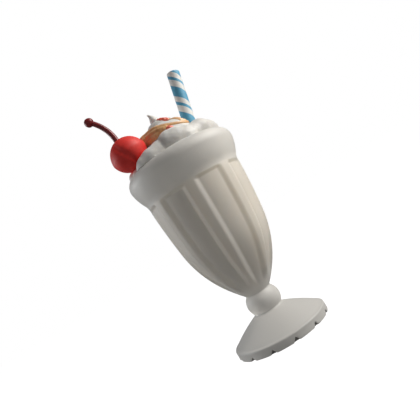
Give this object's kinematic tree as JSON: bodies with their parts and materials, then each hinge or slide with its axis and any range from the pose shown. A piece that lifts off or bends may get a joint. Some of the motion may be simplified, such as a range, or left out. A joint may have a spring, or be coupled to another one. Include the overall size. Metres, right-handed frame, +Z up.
{
  "type": "vanilla milkshake",
  "caption": "Vanilla milkshake in a footed soda-fountain glass with sunk panels, topped with whipped cream, a cherry on its stem, caramel sauce and a striped paper straw.",
  "frame": {"origin": "centre of the foot's underside", "axes": "+Z up along the glass's axis, -Y towards the side that shows the cherry at the left and the straw at the right"},
  "size_m": [0.0992, 0.0978, 0.24],
  "materials": {
    "glass": "pressed glass, milky with chill",
    "milkshake": "thick vanilla shake, satin",
    "whipped_cream": "whipped cream, soft satin",
    "cherry": "glazed cherry skin, glossy",
    "cherry_stem": "dark red stem, satin",
    "straw": "paper with blue stripes wound round it",
    "caramel": "caramel sauce, glossy",
    "syrup": "cherry syrup, glossy"
  },
  "bodies": {
    "root": {"glass": "glass", "milkshake": "milkshake", "whipped_cream": "whipped_cream", "cherry": "cherry", "cherry_stem": "cherry_stem", "straw": "straw"}
  },
  "joints": []
}
